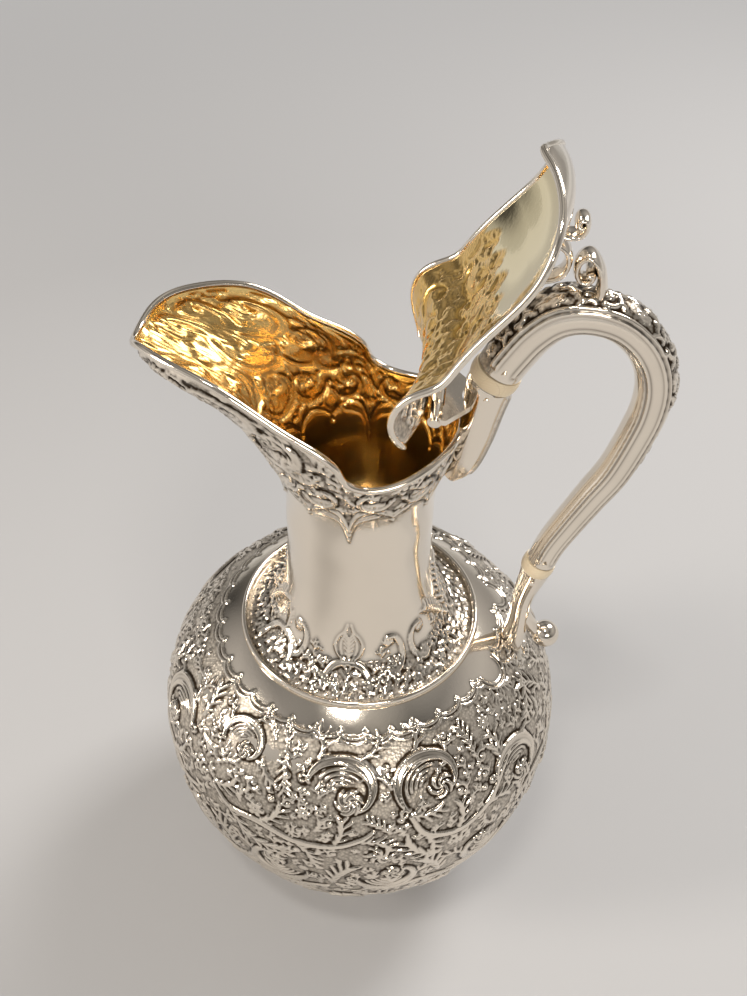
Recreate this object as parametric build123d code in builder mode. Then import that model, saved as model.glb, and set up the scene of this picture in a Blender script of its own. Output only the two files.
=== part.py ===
"""Claret jug: raised ovoid body, leaf-shaped mouth, hinged lid and a scroll handle
held in two sockets by ivory insulators.

Millimetres, +Z up, origin at the centre of the foot. +X points to the handle and -X
to the spout. The lid stands open, leaning back to the volute on top of the handle.
Levels are heights above the shoulder, where the neck is soldered to the body.
"""

import os
from math import asin, degrees, sqrt

from build123d import *

# --- driving dimensions --------------------------------------------------------------

wall = 1.2                  # raised silver sheet
joint_gap = 0.15            # beside a soldered or stacked seam

body_radius = 74.7
body_height = 126.0         # from the body's base to the shoulder
belly_height = 78.0         # from the body's base to its widest level
lower_curve = 1.1282 * belly_height     # half-height of the ellipse below the belly
upper_curve = 1.15625 * (body_height - belly_height)    # and of the fuller curve above it
upper_power = 2.245
foot_height = 9.0
foot_spread = 3.4           # of the foot past the body's base
shoulder_radius = 43.0      # outside of the wire round the neck's base
shoulder_wire_width = 2.2
shoulder_wire_height = 2.6

neck_waist = 24.3
waist_level = 40.0
mouth_radius = 31.2         # at the back
mouth_half_width = 29.6     # beside the notches
spout_reach = 65.2          # from the axis to the spout's nose
mouth_wire_radius = 1.1

lid_wall = 1.1
lid_reach = 54.3            # from the axis to the lid's nose, when closed
lid_back = 22.3             # from the axis to the lid's back edge, when closed
lid_wire_radius = 1.0

hinge_x = 23.0
hinge_level = 102.6
hinge_length = 25.6
hinge_opening = 95.0        # degrees, from closed to open
knuckle_radius = 2.1
knuckle_length = 12.0       # the lid's own, between the bracket's two
pin_radius = 0.9
pin_clearance = 0.05
pin_head_radius = 1.4
pin_head_length = 0.7
bracket_thickness = 1.8

upper_joint_radius = 7.1
lower_joint_radius = 5.2
disc_thickness = 4.5
disc_rim = 0.35             # how far an insulator stands out round its joint
tenon_share = 0.55          # of the joint's radius
tenon_length = 6.0
tenon_clearance = 0.1
cross_pin_radius = 0.8
cross_pin_head = 0.5        # how far its heads stand out
ball_radius = 4.9
scroll_width = 7.0          # of the volute and the lid's scrolls
scroll_thickness = 2.2

shoulder_z = foot_height + body_height
belly_z = foot_height + belly_height
hinge_z = shoulder_z + hinge_level
os.makedirs("parts", exist_ok=True)


def side(*points):
    """Points of the side view, given as (x, level), in the XZ plane's own frame."""
    return [(x, shoulder_z + level) for x, level in points]


def beside(curve, distance, steps=12):
    """A curve at a distance to the left of another one, or to its right if negative."""
    points = []
    for step in range(steps + 1):
        ahead = curve % (step / steps)
        points.append(curve @ (step / steps) + Vector(-ahead.Y, ahead.X) * distance)
    return Spline(*points)


def bent_wire(curve, radius, spans=10):
    """Round wire along a curve, laid in short lengths that run on smoothly."""
    lengths = [curve.trim(span / spans, (span + 1) / spans) for span in range(spans)]
    end = Edge.make_circle(radius, Plane(curve @ 0, z_dir=curve % 0))
    return Solid.sweep(Face(Wire(end)), Wire(lengths))


def in_space(x, level, y=0.0):
    return Vector(x, y, shoulder_z + level)


def finish(builder, name):
    builder.part.label = name
    export_step(builder.part, f"parts/{name}.step")


# --- body and foot -------------------------------------------------------------------

# The belly is an ellipse below its widest level and a fuller curve above it.
base_radius = body_radius * sqrt(1 - (belly_height / lower_curve) ** 2)
foot_radius = base_radius + foot_spread
lower_arc = degrees(asin(belly_height / lower_curve))


def upper_radius(height):
    """The body's radius at a height above its widest level."""
    return body_radius * (1 - (height / upper_curve) ** upper_power) ** (1 / upper_power)


body_top_radius = upper_radius(body_height - belly_height)
neck_opening = shoulder_radius - shoulder_wire_width - 1.4

with BuildPart() as body_solid:
    with BuildSketch(Plane.XZ):
        with BuildLine():
            lower = EllipticalCenterArc((0, belly_z), body_radius, lower_curve, 0, arc_size=-lower_arc)
            rise = body_height - belly_height
            heights = [rise * share for share in (0, 0.3, 0.58, 0.82, 1)]
            upper = Spline(
                *[(upper_radius(h), belly_z + h) for h in heights], tangents=((0, 1), (-0.9, 0.62))
            )
            Polyline(upper @ 1, (0, shoulder_z), (0, (lower @ 1).Y), lower @ 1)
        make_face()
    revolve(axis=Axis.Z)

with BuildPart() as body_shell:
    add(body_solid.part)
    with BuildSketch(Plane.XZ):
        with BuildLine():
            lower_inside = beside(lower, -wall)
            upper_inside = beside(upper, wall)
            Polyline(upper_inside @ 1, (0, (upper_inside @ 1).Y), (0, (lower_inside @ 1).Y))
            Line((0, (lower_inside @ 1).Y), lower_inside @ 1)
        make_face()
    revolve(axis=Axis.Z, mode=Mode.SUBTRACT)
    with BuildSketch(Plane.XY.offset(shoulder_z)):
        Circle(neck_opening)
    extrude(amount=-2 * wall, mode=Mode.SUBTRACT)
finish(body_shell, "body_shell")

with BuildPart() as foot_rim:
    with BuildSketch(Plane.XZ):
        with BuildLine():
            seat = body_radius * sqrt(1 - ((belly_height - 0.6) / lower_curve) ** 2)
            top = Line((base_radius - 3, foot_height), (base_radius, foot_height))
            Line(top @ 1, (seat, foot_height + 0.6))
            scotia = Spline(
                (seat, foot_height + 0.6),
                (base_radius - 1, foot_height - 3.5),
                (foot_radius, 2.2),
                tangents=((-1, -0.5), (1, -0.4)),
            )
            Polyline(scotia @ 1, (foot_radius, 0), (base_radius, 0), (base_radius - 3, 3), top @ 0)
        make_face()
    revolve(axis=Axis.Z)
finish(foot_rim, "foot_rim")

with BuildPart() as shoulder_wire:
    with BuildSketch(Plane.XZ):
        with BuildLine():
            low = Line(
                (shoulder_radius - shoulder_wire_width, shoulder_z), (shoulder_radius, shoulder_z)
            )
            crown = (shoulder_radius - shoulder_wire_width / 2, shoulder_z + shoulder_wire_height)
            Spline(low @ 1, crown, low @ 0, tangents=((0, 1), (0, -1)))
        make_face()
    revolve(axis=Axis.Z)
finish(shoulder_wire, "shoulder_wire")

# --- neck and spout ------------------------------------------------------------------

# Each level of the mouth joins a half ellipse at the back to one that reaches forward
# into the spout: level, radius at the back, half-width, reach of the spout.
mouth = [
    (waist_level, neck_waist, neck_waist, neck_waist),
    (52, 24.2, 24.2, 24.2),
    (64, 24.4, 24.3, 23.8),
    (76, 26.6, 26.2, 25.8),
    (88, 30.0, 29.0, 31.0),
    (98, 31.0, mouth_half_width + 0.1, 38.5),
    (105, mouth_radius, mouth_half_width, 46.5),
    (110, 31.3, mouth_half_width, 55.3),
    (114, 31.4, mouth_half_width, spout_reach - 2.4),
    (118, 31.45, 29.8, spout_reach + 0.4),
    (127, 31.6, 30.3, spout_reach + 1.6),
]


def mouth_section(level, back, half_width, reach):
    with BuildSketch(Plane.XY.offset(shoulder_z + level)) as section:
        with BuildLine():
            EllipticalCenterArc((0, 0), back, half_width, -90, arc_size=180)
            EllipticalCenterArc((0, 0), reach, half_width, 90, arc_size=180)
        make_face()
    return section.sketch


def inside(index, part):
    """A section's dimension inside the sheet, whose wall leans with the mouth's flare."""
    if index == 0:
        return neck_waist - wall
    below, above = mouth[index - 1], mouth[min(index + 1, len(mouth) - 1)]
    slope = (above[part] - below[part]) / (above[0] - below[0])
    return mouth[index][part] - wall * sqrt(1 + slope**2)


with BuildPart() as neck_solid:
    with BuildSketch(Plane.XZ):
        with BuildLine():
            flare = Spline(
                *side((neck_opening + 1.35, 0), (33.5, 4.2), (29, 11), (25.8, 24)),
                *side((neck_waist, waist_level)),
                tangents=((-1, 0.25), (0, 1)),
            )
            Polyline(flare @ 1, (0, (flare @ 1).Y), (0, shoulder_z), flare @ 0)
        make_face()
    revolve(axis=Axis.Z)
    for section in mouth:
        add(mouth_section(*section))
    loft()

with BuildPart() as neck_hollow:
    with BuildSketch(Plane.XZ):
        with BuildLine():
            inner = beside(flare, wall)
            Polyline(inner @ 1, (0, (inner @ 1).Y), (0, (inner @ 0).Y), inner @ 0)
        make_face()
    revolve(axis=Axis.Z)
    for index, section in enumerate(mouth):
        add(mouth_section(section[0], *(inside(index, part) for part in (1, 2, 3))))
    loft()

# The rim dips from the spout to a notch on each side, then runs low round the back. The
# sheet stops just under the wire that finishes it.
with BuildPart() as rim_cut:
    with BuildSketch(Plane.XZ.offset(-2 * mouth_radius)):
        with BuildLine():
            dip = Spline(
                *side((-71, 105), (-65.6, 114.9), (-62.2, 119.1), (-51.9, 120.8), (-34.7, 117.4)),
                *side((-18.7, 107), (-4.6, 98.6), (-2.2, 95.6), (-0.5, 92), (2.6, 89.6)),
                *side((8.5, 88.2), (16.4, 89.3), (24.2, 91.6), (35, 92)),
            )
            Polyline(dip @ 1, *side((35, 130), (-71, 130)), dip @ 0)
        make_face()
    extrude(amount=4 * mouth_radius)

with BuildPart() as mouth_cut:
    with BuildSketch(Plane.XZ.offset(-2 * mouth_radius)):
        with BuildLine():
            low = beside(dip, -mouth_wire_radius - joint_gap, 48)
            Polyline(low @ 1, *side((35, 130), (-71, 130)), low @ 0)
        make_face()
    extrude(amount=4 * mouth_radius)

with BuildPart() as neck_spout:
    add(neck_solid.part)
    add(mouth_cut.part, mode=Mode.SUBTRACT)
    add(neck_hollow.part, mode=Mode.SUBTRACT)
finish(neck_spout, "neck_spout")

# The wire's centre line runs where the dipping rim meets the sheet's outside.
half_mouth = split(neck_solid.part - rim_cut.part, bisect_by=Plane.XZ, mode=Mode.PRIVATE)
rim_face = half_mouth.faces().filter_by(GeomType.EXTRUSION).sort_by(SortBy.AREA)[-1]
rim = Wire([edge for edge in rim_face.edges() if abs(edge.center().Y) > 1])
rim_points = [rim @ (point / 28) for point in range(29)]
nose_side, back_side = (Vector(end.X, -end.Y, end.Z) for end in (rim_points[1], rim_points[-2]))

with BuildPart() as mouth_wire:
    add(bent_wire(Spline(nose_side, *rim_points, back_side, mode=Mode.PRIVATE), mouth_wire_radius))
    split(bisect_by=Plane.XZ, keep=Keep.BOTTOM if rim_points[3].Y > 0 else Keep.TOP)
    mirror(about=Plane.XZ)
finish(mouth_wire, "mouth_wire")

# --- lid -----------------------------------------------------------------------------

# The lid is drawn closed and then turned open about the hinge. From nose to back: the
# distance along X, the level of its edge, its half-width and its rise to the middle.
lid = [
    (-lid_reach, 117.3, 1.6, 0.2),
    (-53.4, 119.2, 5.6, 0.8),
    (-51.2, 121.6, 12.0, 1.8),
    (-47.5, 122.8, 18.3, 2.8),
    (-43, 122.5, 23.0, 3.4),
    (-35, 120.2, 27.0, 3.8),
    (-27, 115.6, 28.8, 4.0),
    (-18.7, 110.0, 29.6, 4.2),
    (-10, 105.0, 30.5, 4.6),
    (-4, 101.4, 31.2, 5.0),
    (-0.8, 96.8, 31.5, 5.4),
    (3.5, 92.4, 31.9, 5.8),
    (8.5, 90.8, 31.9, 6.0),
    (14, 91.4, 30.9, 5.6),
    (19, 93.6, 28.6, 5.2),
    (lid_back, 95.0, 26.0, 5.0),
]
hinge = Axis((hinge_x, 0, hinge_z), (0, 1, 0))


def lid_section(x, edge, half_width, rise, thickness=lid_wall):
    """A crescent across the lid: arched sheet of even depth between its two edges."""
    arch = [(-1, 0), (-0.55, 0.72), (0, 1), (0.55, 0.72), (1, 0)]
    with BuildSketch(Plane.YZ.offset(x)) as section:
        with BuildLine():
            base = shoulder_z + edge
            top = Spline(*[(half_width * y, base + rise * z) for y, z in arch])
            low = Spline(*[(half_width * y, base + rise * z - thickness) for y, z in arch])
            Line(top @ 0, low @ 0)
            Line(top @ 1, low @ 1)
        make_face()
    return section.sketch


def sheet_edge(index):
    """X and half-width of the sheet's edge, just inside the lid wire's centre line."""
    before, after = lid[max(index - 1, 0)], lid[min(index + 1, len(lid) - 1)]
    run, spread = after[0] - before[0], after[2] - before[2]
    inset = (lid_wire_radius + 2 * joint_gap) / sqrt(run**2 + spread**2)
    return lid[index][0] + inset * spread, lid[index][2] - inset * run


def opened(part):
    return part.rotate(hinge, hinge_opening)


def finish_lid(builder, name):
    turned = opened(builder.part)
    turned.label = name
    export_step(turned, f"parts/{name}.step")
    return turned


with BuildPart() as lid_shell:
    for index, (x, edge, half_width, rise) in enumerate(lid):
        sheet_x, sheet_half = sheet_edge(index)
        add(lid_section(sheet_x, edge + lid_wall / 2, sheet_half, rise))
    loft()
finish_lid(lid_shell, "lid_shell")

edge_points = [in_space(x, edge, -half_width) for x, edge, half_width, rise in lid]
nose = in_space(-lid_reach - 0.3, 116.9)
beyond = Vector(edge_points[0].X, -edge_points[0].Y, edge_points[0].Z)

with BuildPart() as lid_wire:
    add(bent_wire(Spline(*edge_points[::-1], nose, beyond), lid_wire_radius))
    split(bisect_by=Plane.XZ, keep=Keep.TOP)
    mirror(about=Plane.XZ)
finish_lid(lid_wire, "lid_wire")

# --- hinge ---------------------------------------------------------------------------

hinge_plane = Plane((hinge_x, 0, hinge_z), x_dir=(1, 0, 0), z_dir=(0, -1, 0))
bore_radius = pin_radius + pin_clearance

# The lid's own knuckle, with the strap that is soldered along the top of the lid.
with BuildPart() as lid_knuckle:
    with BuildSketch(hinge_plane):
        Circle(knuckle_radius)
        with BuildLine():
            strap = Spline((-1.2, -0.4), (-2.6, -1.35), (-7.0, -3.5), (-11.0, -5.0))
            Polyline(strap @ 1, (-11.0, -3.9), (-6.8, -2.1), (-1.6, 1.2), (0, 0), strap @ 0)
        make_face()
    extrude(amount=knuckle_length / 2, both=True)
    add(lid_shell.part, mode=Mode.SUBTRACT)
    with BuildSketch(hinge_plane):
        Circle(bore_radius)
    extrude(amount=knuckle_length, both=True, mode=Mode.SUBTRACT)
finish_lid(lid_knuckle, "lid_knuckle")

with BuildPart() as hinge_pin:
    with BuildSketch(hinge_plane):
        Circle(pin_radius)
    extrude(amount=hinge_length / 2 + 0.1, both=True)
    with BuildSketch(hinge_plane.offset(hinge_length / 2 + 0.1)):
        Circle(pin_head_radius)
    extrude(amount=pin_head_length)
    mirror(about=Plane.XZ)
finish(hinge_pin, "hinge_pin")

# --- handle --------------------------------------------------------------------------

# Each ivory disc lies square to the handle, with a tenon into the metal on both sides.
upper_joint = Plane(in_space(38.95, 111.8), x_dir=(0, 1, 0), z_dir=(0.39, 0, 0.92))
lower_joint = Plane(in_space(60.5, 34.2), x_dir=(0, 1, 0), z_dir=(0.3, 0, 0.95))


def joint_face(joint, away):
    """The plane of a disc's face on the side that a sign picks, and its centre."""
    return joint.offset(away * disc_thickness / 2)


def tenon_hole(joint, radius, away):
    """The blind bore for a tenon, running away from the disc's face."""
    with BuildPart() as hole:
        with BuildSketch(joint_face(joint, away)):
            Circle(radius * tenon_share + tenon_clearance)
        extrude(amount=away * (tenon_length + 2 * tenon_clearance))
    return hole.part


def cross_pin(joint, away, radius):
    """A pin across the tenon, with its rounded heads standing out of the metal."""
    centre = joint.offset(away * (disc_thickness / 2 + tenon_length / 2)).origin
    with BuildPart() as pin:
        with BuildSketch(Plane(centre, x_dir=(1, 0, 0), z_dir=(0, -1, 0))):
            Circle(radius)
        extrude(amount=upper_joint_radius + cross_pin_head, both=True)
    return pin.part


with BuildPart() as handle:
    with BuildLine():
        bow = Spline(
            joint_face(upper_joint, 1).origin,
            *[in_space(*at) for at in ((43.2, 120.6), (47.9, 128.2), (53.8, 133.6), (61.2, 135))],
            *[in_space(*at) for at in ((69.4, 133.1), (75.9, 128.4), (80.5, 122), (83, 114.6))],
            *[in_space(*at) for at in ((83.5, 106.5), (82.3, 97.5), (78.1, 81), (72.9, 68.8))],
            *[in_space(*at) for at in ((67.8, 56.6), (63.8, 46.2))],
            joint_face(lower_joint, 1).origin,
            tangents=(upper_joint.z_dir, -lower_joint.z_dir),
        )
    stations = ((0, 7.1), (0.08, 7.2), (0.18, 7.2), (0.28, 6.4), (0.38, 6), (0.48, 5.9))
    for share, radius in stations + ((0.58, 5.8), (0.7, 5.6), (0.82, 5.3), (0.92, 5.2), (1, 5.2)):
        with BuildSketch(Plane(bow @ share, x_dir=(0, 1, 0), z_dir=bow % share)):
            Circle(radius)
    loft()
    for joint, radius in ((upper_joint, upper_joint_radius), (lower_joint, lower_joint_radius)):
        add(tenon_hole(joint, radius, 1), mode=Mode.SUBTRACT)
        add(cross_pin(joint, 1, cross_pin_radius + pin_clearance), mode=Mode.SUBTRACT)
finish(handle, "handle")


def insulator(joint, radius):
    """A disc that bulges past the metal beside it, with its two tenons."""
    half, rim = disc_thickness / 2, radius + disc_rim
    with BuildPart() as disc:
        with BuildSketch(Plane(joint.origin, x_dir=joint.x_dir, z_dir=joint.y_dir)):
            with BuildLine():
                edge = Spline((radius, -half), (rim, 0), (radius, half))
                Polyline(edge @ 1, (0, half), (0, -half), edge @ 0)
            make_face()
        revolve(axis=Axis(joint.origin, joint.z_dir))
        with BuildSketch(joint):
            Circle(radius * tenon_share)
        extrude(amount=half + tenon_length, both=True)
        for away in (-1, 1):
            add(cross_pin(joint, away, cross_pin_radius + pin_clearance), mode=Mode.SUBTRACT)
    return disc


upper_insulator = insulator(upper_joint, upper_joint_radius)
finish(upper_insulator, "upper_insulator")
lower_insulator = insulator(lower_joint, lower_joint_radius)
finish(lower_insulator, "lower_insulator")


def stacked(*discs):
    """Circles to loft, each given as (x, level, radius, lean of its normal along X)."""
    for x, level, radius, lean in discs:
        with BuildSketch(Plane(in_space(x, level), x_dir=(0, 1, 0), z_dir=(lean, 0, 1))) as disc:
            Circle(radius)
        yield disc.sketch


with BuildPart() as upper_socket:
    for disc in stacked((28.6, 71, 2.6, 0.7), (32, 77, 4.6, 0.45), (34.2, 88, 6, 0.15)):
        add(disc)
    add(*stacked((36.1, 100, 6.6, 0.25)))
    with BuildSketch(joint_face(upper_joint, -1)):
        Circle(upper_joint_radius)
    loft()
    add(neck_solid.part - rim_cut.part, mode=Mode.SUBTRACT)
    with Locations(in_space(0, 92.5)):
        Torus(mouth_radius - 0.4, mouth_wire_radius + 0.35, mode=Mode.SUBTRACT)
    add(tenon_hole(upper_joint, upper_joint_radius, -1), mode=Mode.SUBTRACT)
    add(cross_pin(upper_joint, -1, cross_pin_radius + pin_clearance), mode=Mode.SUBTRACT)
finish(upper_socket, "upper_socket")

ball_centre = in_space(67.5, -2.6)
with BuildPart() as terminal_ball:
    with Locations(ball_centre):
        Sphere(ball_radius)
finish(terminal_ball, "terminal_ball")

with BuildPart() as lower_socket:
    with BuildSketch(joint_face(lower_joint, -1)):
        Circle(lower_joint_radius)
    for disc in stacked((58.4, 23, 4.2, 0.15), (57.2, 14, 3.6, 0.05), (57, 5, 3.7, 0.05)):
        add(disc)
    for disc in stacked((56, -5, 4.6, 0.1), (54.5, -12, 5.2, 0.1)):
        add(disc)
    loft()
    with BuildLine():
        curl = Spline(in_space(57.5, 12), in_space(60.6, 3.6), in_space(64.5, -1.4))
    with BuildSketch(Plane(curl @ 0, z_dir=curl % 0)):
        Circle(2.4)
    sweep()
    add(terminal_ball.part, mode=Mode.SUBTRACT)
    add(body_solid.part, mode=Mode.SUBTRACT)
    add(tenon_hole(lower_joint, lower_joint_radius, -1), mode=Mode.SUBTRACT)
    add(cross_pin(lower_joint, -1, cross_pin_radius + pin_clearance), mode=Mode.SUBTRACT)
finish(lower_socket, "lower_socket")

# The pins' heads are domes on the metal's surface.
with BuildPart() as cross_pins:
    for joint, away, radius in (
        (upper_joint, 1, upper_joint_radius),
        (upper_joint, -1, upper_joint_radius - 0.2),
        (lower_joint, 1, lower_joint_radius),
        (lower_joint, -1, lower_joint_radius - 0.5),
    ):
        centre = joint.offset(away * (disc_thickness / 2 + tenon_length / 2)).origin
        with BuildSketch(Plane(centre, x_dir=(1, 0, 0), z_dir=(0, -1, 0))):
            Circle(cross_pin_radius)
        extrude(amount=radius + cross_pin_head, both=True)
finish(cross_pins, "cross_pins")

# --- hinge bracket -------------------------------------------------------------------

with BuildPart() as hinge_bracket:
    with BuildSketch(Plane.XY.offset(hinge_z)):
        with BuildLine():
            outer = hinge_length / 2
            Polyline((hinge_x, -outer), (hinge_x + 3.2, -outer), (33.5, -4.6), (33.5, 4.6))
            Polyline((33.5, 4.6), (hinge_x + 3.2, outer), (hinge_x, outer), (hinge_x, -outer))
        make_face()
    extrude(amount=bracket_thickness / 2, both=True)
    with BuildSketch(hinge_plane):
        Circle(knuckle_radius)
    extrude(amount=hinge_length / 2, both=True)
    with BuildSketch(hinge_plane):
        Circle(knuckle_radius + 2 * joint_gap)
        with Locations((-knuckle_radius, 0)):
            Rectangle(2 * knuckle_radius, 3 * knuckle_radius)
    extrude(amount=knuckle_length / 2 + joint_gap, both=True, mode=Mode.SUBTRACT)
    with BuildSketch(hinge_plane):
        Circle(bore_radius)
    extrude(amount=hinge_length, both=True, mode=Mode.SUBTRACT)
    add(upper_socket.part, mode=Mode.SUBTRACT)
finish(hinge_bracket, "hinge_bracket")

# --- scrolls -------------------------------------------------------------------------


def strap(*points, thickness=scroll_thickness):
    """A flat strap of even thickness along a curve through points of the side view."""
    with BuildPart() as bent:
        with BuildSketch(Plane.XZ):
            with BuildLine():
                Spline(*side(*points))
            trace(line_width=thickness)
        extrude(amount=scroll_width / 2, both=True)
    return bent.part


with BuildPart() as handle_volute:
    add(strap((63, 135), (63.6, 142), (62.4, 148), (59.6, 151.9), (57, 150.6), (56.6, 147.6)))
    add(strap((57.2, 146.8), (56.9, 149.4), (59, 150.8), thickness=0.8))
    with Locations(in_space(59.1, 146.4)):
        Cylinder(2.1, scroll_width + 1, rotation=(90, 0, 0))
    add(handle.part, mode=Mode.SUBTRACT)
finish(handle_volute, "handle_volute")

lid_outside = opened(lid_shell.part)


def outside_lid(part):
    """What stands on the lid's outside, without the end that is let into the sheet."""
    return (part - lid_outside).solids().sort_by(SortBy.VOLUME)[-1]


bar = strap((48, 156.8), (50.5, 157.8), (53.2, 157.2), (55.9, 157.9), (56.7, 160.2))
with BuildPart() as lid_scroll:
    add(outside_lid(bar))
    with Locations(in_space(56.3, 161)):
        Cylinder(2, scroll_width + 1, rotation=(90, 0, 0))
finish(lid_scroll, "lid_scroll")

c_turn = ((47.5, 155.1), (50.5, 155.1), (53.1, 153), (53.9, 149.6), (52.6, 146.2), (49, 144.4))
with BuildPart() as lid_loop:
    add(outside_lid(strap(*c_turn, (40.5, 144.4)) - lid_scroll.part))
finish(lid_loop, "lid_loop")
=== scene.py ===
"""Silver claret jug: raised and chased body, leaf-shaped mouth, hinged lid, scroll handle.

Shapes are drawn in millimetres, and settled in metres. The floor, lamps and camera are
placed in metres. The jug stands on z = 0 and its handle is towards +X.
"""

import bmesh
import bpy
import numpy as np
from mathutils import Matrix, Vector


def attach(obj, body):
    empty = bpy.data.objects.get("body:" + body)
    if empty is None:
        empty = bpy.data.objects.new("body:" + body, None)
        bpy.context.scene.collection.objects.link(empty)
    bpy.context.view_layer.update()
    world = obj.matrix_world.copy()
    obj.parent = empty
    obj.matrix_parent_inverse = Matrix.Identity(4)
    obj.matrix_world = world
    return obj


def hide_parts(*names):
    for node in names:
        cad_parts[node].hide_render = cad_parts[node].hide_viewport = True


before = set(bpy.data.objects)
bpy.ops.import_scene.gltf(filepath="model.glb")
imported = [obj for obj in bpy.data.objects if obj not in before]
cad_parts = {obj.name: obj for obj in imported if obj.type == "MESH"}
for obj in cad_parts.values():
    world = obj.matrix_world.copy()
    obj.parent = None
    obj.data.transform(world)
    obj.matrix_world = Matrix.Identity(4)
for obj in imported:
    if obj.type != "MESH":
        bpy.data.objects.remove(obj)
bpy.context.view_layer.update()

# --- Body ----------------------------------------------------------------------------
# The body is raised from one sheet of silver. Its ornament is chased from both sides:
# scrolls, leaves and flowers stand out of a ground that is matted with a small punch.


class Wire:
    """A shader socket that can be written in sums: it adds the Math nodes they need."""

    def __init__(self, tree, socket):
        self.tree, self.socket = tree, socket

    def math(self, operation, first, second):
        return node(self.tree, "ShaderNodeMath", {"operation": operation}, {0: first, 1: second})

    def __add__(self, other):
        return self.math("ADD", self, other)

    def __mul__(self, other):
        return self.math("MULTIPLY", self, other)

    def __sub__(self, other):
        return self.math("SUBTRACT", self, other)

    def __rsub__(self, other):
        return self.math("SUBTRACT", other, self)

    __radd__, __rmul__ = __add__, __mul__


def node(tree, kind, settings=None, values=None, out=0):
    """Adds a node: its settings first, then the values or links of its sockets."""
    made = tree.nodes.new(kind)
    for key, value in (settings or {}).items():
        if key == "stops":
            while len(made.color_ramp.elements) < len(value):
                made.color_ramp.elements.new(0.5)
            for stop, (share, colour) in zip(made.color_ramp.elements, value):
                stop.position, stop.color = share, (*colour, 1)
        else:
            setattr(made, key, value)
    for key, value in (values or {}).items():
        if isinstance(value, Wire):
            tree.links.new(value.socket, made.inputs[key])
        else:
            made.inputs[key].default_value = value
    return Wire(tree, made.outputs[out])


def limited(share):
    return node(share.tree, "ShaderNodeClamp", values={"Value": share})


def blend(share, low, high):
    """A colour between two colours, by a share from 0 to 1."""
    ends = {0: share, 6: low if isinstance(low, Wire) else (*low, 1), 7: (*high, 1)}
    return node(share.tree, "ShaderNodeMix", {"data_type": "RGBA"}, ends, out=2)


def new_material(name):
    made = bpy.data.materials.new(name)
    made.use_nodes = True
    return made.node_tree, made.node_tree.nodes["Principled BSDF"], made


def metal(name, bright, tarnish_and_shade, gloss=0.08, dull=0.38, chased=True):
    """Polished metal. Where it is chased, recesses are darkened with tarnish and painted shade, and
    the matted ground with painted shade.
    """
    tree, shader, made = new_material(name)
    shader.inputs["Metallic"].default_value = 1
    where = node(tree, "ShaderNodeTexCoord", out="Object")
    cloud = node(tree, "ShaderNodeTexNoise", values={"Vector": where, "Scale": 55.0, "Detail": 3.0})
    fine = node(tree, "ShaderNodeTexNoise", values={"Vector": where, "Scale": 700.0, "Detail": 3.0})
    if chased:
        shade = node(tree, "ShaderNodeAttribute", {"attribute_name": "shade"}, out="Fac")
        ground = node(tree, "ShaderNodeAttribute", {"attribute_name": "ground"}, out="Fac")
        punch = node(tree, "ShaderNodeTexVoronoi", values={"Vector": where, "Scale": 1000.0})
        # Recesses darken as tarnish and painted shade; the matted ground darkens as painted shade,
        # most at the edges of its punch marks.
        dark = shade * 1.5 + ground * (punch * 0.55 + 0.1) + (cloud - 0.5) * 0.5 * (shade + 0.25)
        rough = ground * (dull - gloss) + shade * 0.2 + cloud * 0.05 + gloss
        height = punch * ground * 0.8 + fine * 0.1
    else:
        dark = (cloud - 0.45) * 0.5
        rough = cloud * 0.07 + gloss
        height = fine * 0.08
    bump = node(
        tree, "ShaderNodeBump", values={"Height": height, "Strength": 0.7, "Distance": 0.00025}
    )
    tree.links.new(blend(limited(dark), bright, tarnish_and_shade).socket, shader.inputs["Base Color"])
    tree.links.new(rough.socket, shader.inputs["Roughness"])
    tree.links.new(bump.socket, shader.inputs["Normal"])
    return made


# Both silvers are tinted warm as painted light: the tint stands in for warm light falling on them.
silver_bright, silver_tarnish_and_shade = (0.90, 0.82, 0.71), (0.045, 0.03, 0.018)
silver = metal("polished silver", silver_bright, (0.42, 0.35, 0.27), chased=False)
chased_silver = metal("chased silver", silver_bright, silver_tarnish_and_shade)


def smooth_line(points, spacing):
    """Evenly spaced points on a smooth line through the given ones."""
    p = np.array(points, float)
    p = np.vstack([2 * p[0] - p[1], p, 2 * p[-1] - p[-2]])
    line = []
    for a, b, c, d in zip(p, p[1:], p[2:], p[3:]):
        t = np.linspace(0, 1, max(int(np.linalg.norm(c - b) / spacing), 2), endpoint=False)[:, None]
        line.append(0.5 * (2 * b + (c - a) * t + (2 * a - 5 * b + 4 * c - d) * t**2
                           + (3 * b - a - 3 * c + d) * t**3))
    return np.vstack(line + [p[-2][None]])


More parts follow.
